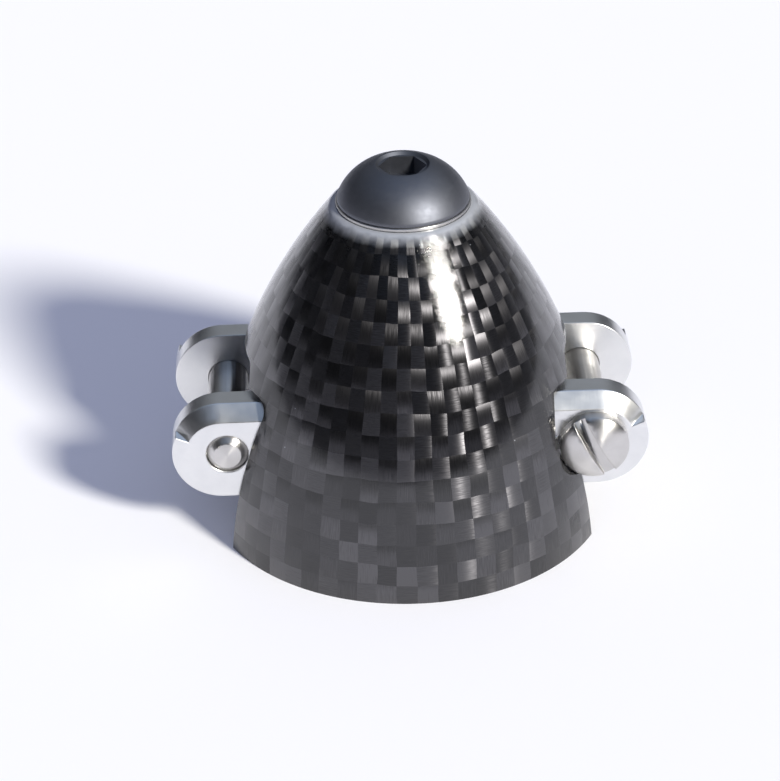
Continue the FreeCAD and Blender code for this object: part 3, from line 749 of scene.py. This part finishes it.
class SPINNER_OT_nose_screw(bpy.types.Operator):
    """Builds the button-head screw and the washer under it"""

    bl_idname = "spinner.nose_screw"
    bl_label = "Nose screw"

    def execute(self, context):
        piece = surface("button_screw", screw_patches())
        finish_piece(piece, "nose_screw", [black_oxide()])
        washer = broken_edges(merged_copy("nose_washer", "thin_washer"), 0.05)
        steel = turned_stainless("Bright washer steel", (0, 0, 0), 2)
        finish_piece(washer, "nose_washer", [steel])
        return {"FINISHED"}


class SPINNER_OT_yoke(bpy.types.Operator):
    """Finishes the milled yoke with its forks"""

    bl_idname = "spinner.yoke"
    bl_label = "Yoke"

    def execute(self, context):
        piece = broken_edges(merged_copy("yoke", "milled_yoke"), 0.06)
        finish_piece(piece, "yoke", [machined_aluminium()])
        return {"FINISHED"}


class SPINNER_OT_pins(bpy.types.Operator):
    """Finishes both blade pins"""

    bl_idname = "spinner.pins"
    bl_label = "Blade pins"

    def execute(self, context):
        for side in ("right", "left"):
            node = "blade_pin_" + side
            low, high = box_mm(node)
            piece = broken_edges(merged_copy(node, "turned_pin_" + side), 0.04)
            steel = turned_stainless("Turned pin steel " + side, (low + high) / 2, 1)
            finish_piece(piece, node, [steel])
        return {"FINISHED"}


class SPINNER_OT_shaft_fixing(bpy.types.Operator):
    """Finishes the collet, its nut and its washer inside the cone"""

    bl_idname = "spinner.shaft_fixing"
    bl_label = "Shaft fixing"

    def execute(self, context):
        collet = broken_edges(merged_copy("shaft_collet", "split_collet"), 0.05)
        finish_piece(collet, "shaft_collet", [machined_aluminium()])
        steel = turned_stainless("Plated fixing steel", (0, 0, 0), 2)
        for node, name in (("clamp_nut", "hexagon_nut"), ("nut_washer", "flat_washer")):
            finish_piece(broken_edges(merged_copy(node, name), 0.06), node, [steel])
        return {"FINISHED"}


class SPINNER_OT_stage(bpy.types.Operator):
    """Lays the plain ground and sets the light and the camera"""

    bl_idname = "spinner.stage"
    bl_label = "Stage"

    def execute(self, context):
        make_floor()
        make_light()
        make_world()
        make_camera()
        return {"FINISHED"}


class SPINNER_PT_panel(bpy.types.Panel):
    """Lists the steps that build the spinner"""

    bl_idname = "SPINNER_PT_panel"
    bl_label = "Propeller spinner"
    bl_space_type = "VIEW_3D"
    bl_region_type = "UI"
    bl_category = "Spinner"

    def draw(self, context):
        for operator in OPERATORS:
            self.layout.operator(operator.bl_idname)
        for group in (sizes(), colours()):
            box = self.layout.box()
            for name in group.bl_rna.properties.keys():
                if name not in ("rna_type", "name"):
                    box.prop(group, name)


# ----------------------------------------------------------------------------- stage
CAMERA_DISTANCE = 212.655
CAMERA_ELEVATION = 33.22
CAMERA_AZIMUTH = -2.07
CAMERA_ROLL = -1.02
CAMERA_PITCH = 2.024
CAMERA_YAW = 0.339
CAMERA_LENS = 128.8
KEY_AZIMUTH = 43.0
KEY_ELEVATION = 31.0
KEY_WIDTH = 9.0
KEY_POWER = 4.5
FLOOR_REACH = 3.0


def direction(azimuth, elevation):
    """Unit vector from the origin; azimuth 0 points along -Y and 90 along +X."""
    turn, lift = math.radians(azimuth), math.radians(elevation)
    return Vector((math.sin(turn) * math.cos(lift), -math.cos(turn) * math.cos(lift), math.sin(lift)))


def make_floor():
    """One flat square, far wider than the object, at its base."""
    mesh = bpy.data.meshes.new("ground")
    corners = [(-1, -1), (1, -1), (1, 1), (-1, 1)]
    mesh.from_pydata([(x * FLOOR_REACH, y * FLOOR_REACH, 0) for x, y in corners], [], [(0, 1, 2, 3)])
    ground = link(bpy.data.objects.new("ground", mesh))
    mesh.materials.append(floor_material())


def make_light():
    """One broad key light, whose shadows soften with distance."""
    lamp = bpy.data.lights.new("key", "SUN")
    lamp.energy = KEY_POWER
    lamp.angle = math.radians(KEY_WIDTH)
    lamp.color = (1.0, 0.97, 0.9)
    key = link(bpy.data.objects.new("key", lamp))
    key.rotation_mode = "QUATERNION"
    key.rotation_quaternion = direction(KEY_AZIMUTH, KEY_ELEVATION).to_track_quat("Z", "Y")


def make_world():
    """Even fill for every surface; what gloss reflects is dark low down in front, grey at
    mid height, blue overhead and brighter to the right."""
    world = bpy.data.worlds.new("studio")
    bpy.context.scene.world = world
    world.use_nodes = True
    tree = world.node_tree
    tree.nodes.clear()
    place = add(tree, "TexCoord").node.outputs["Generated"]
    split = add(tree, "SeparateXYZ", place).node.outputs
    lift = add(tree, "Math", split[1], 0.25, split[2], operation="MULTIPLY_ADD")
    rise = add(tree, "MapRange", lift, 0.45, 0.8, interpolation_type="SMOOTHSTEP")
    overhead = add(tree, "MapRange", split[2], 0.6, 0.95, interpolation_type="SMOOTHSTEP")
    upper = add(tree, "Mix", overhead, linear("#929598"), linear("#93A6C4"), data_type="RGBA")
    sky = add(tree, "Mix", rise, linear("#26282C"), upper, data_type="RGBA")
    side = add(tree, "MapRange", split[0], -0.7, 0.7, 0.5, 1.5)
    gloss = add(tree, "Background", sky, side)
    fill = add(tree, "Background", linear("#A2A9C6"), 0.8)
    backdrop = add(tree, "Background", (1, 1, 1, 1), 1.0)
    path = add(tree, "LightPath").node.outputs
    soft = add(tree, "MixShader", path["Is Glossy Ray"], fill, gloss)
    add(tree, "OutputWorld", add(tree, "MixShader", path["Is Camera Ray"], soft, backdrop))


def make_camera():
    """Camera on its line to the origin, then turned by yaw, pitch and roll."""
    view = bpy.data.cameras.new("view")
    view.lens = CAMERA_LENS
    view.clip_start = 0.01
    view.clip_end = 20.0
    camera = link(bpy.data.objects.new("view", view))
    away = direction(CAMERA_AZIMUTH, CAMERA_ELEVATION)
    camera.location = away * CAMERA_DISTANCE * MM
    camera.rotation_mode = "QUATERNION"
    aim = away.to_track_quat("Z", "Y").to_matrix()
    for angle, axis in ((CAMERA_YAW, "Y"), (CAMERA_PITCH, "X"), (CAMERA_ROLL, "Z")):
        aim = aim @ Matrix.Rotation(math.radians(angle), 3, axis)
    camera.rotation_quaternion = aim.to_quaternion()
    bpy.context.scene.camera = camera


OPERATORS = (
    SPINNER_OT_cone,
    SPINNER_OT_nose_screw,
    SPINNER_OT_yoke,
    SPINNER_OT_pins,
    SPINNER_OT_shaft_fixing,
    SPINNER_OT_stage,
)
CLASSES = (SpinnerSizes, SpinnerColours) + OPERATORS + (SPINNER_PT_panel,)


def register():
    for item in CLASSES:
        bpy.utils.register_class(item)
    bpy.types.Scene.spinner_sizes = bpy.props.PointerProperty(type=SpinnerSizes)
    bpy.types.Scene.spinner_colours = bpy.props.PointerProperty(type=SpinnerColours)


def unregister():
    del bpy.types.Scene.spinner_colours
    del bpy.types.Scene.spinner_sizes
    for item in reversed(CLASSES):
        bpy.utils.unregister_class(item)


def main():
    register()
    bpy.context.scene.view_settings.view_transform = "Standard"
    for operator in OPERATORS:
        group, name = operator.bl_idname.split(".")
        getattr(getattr(bpy.ops, group), name)()


if __name__ == "__main__":
    main()
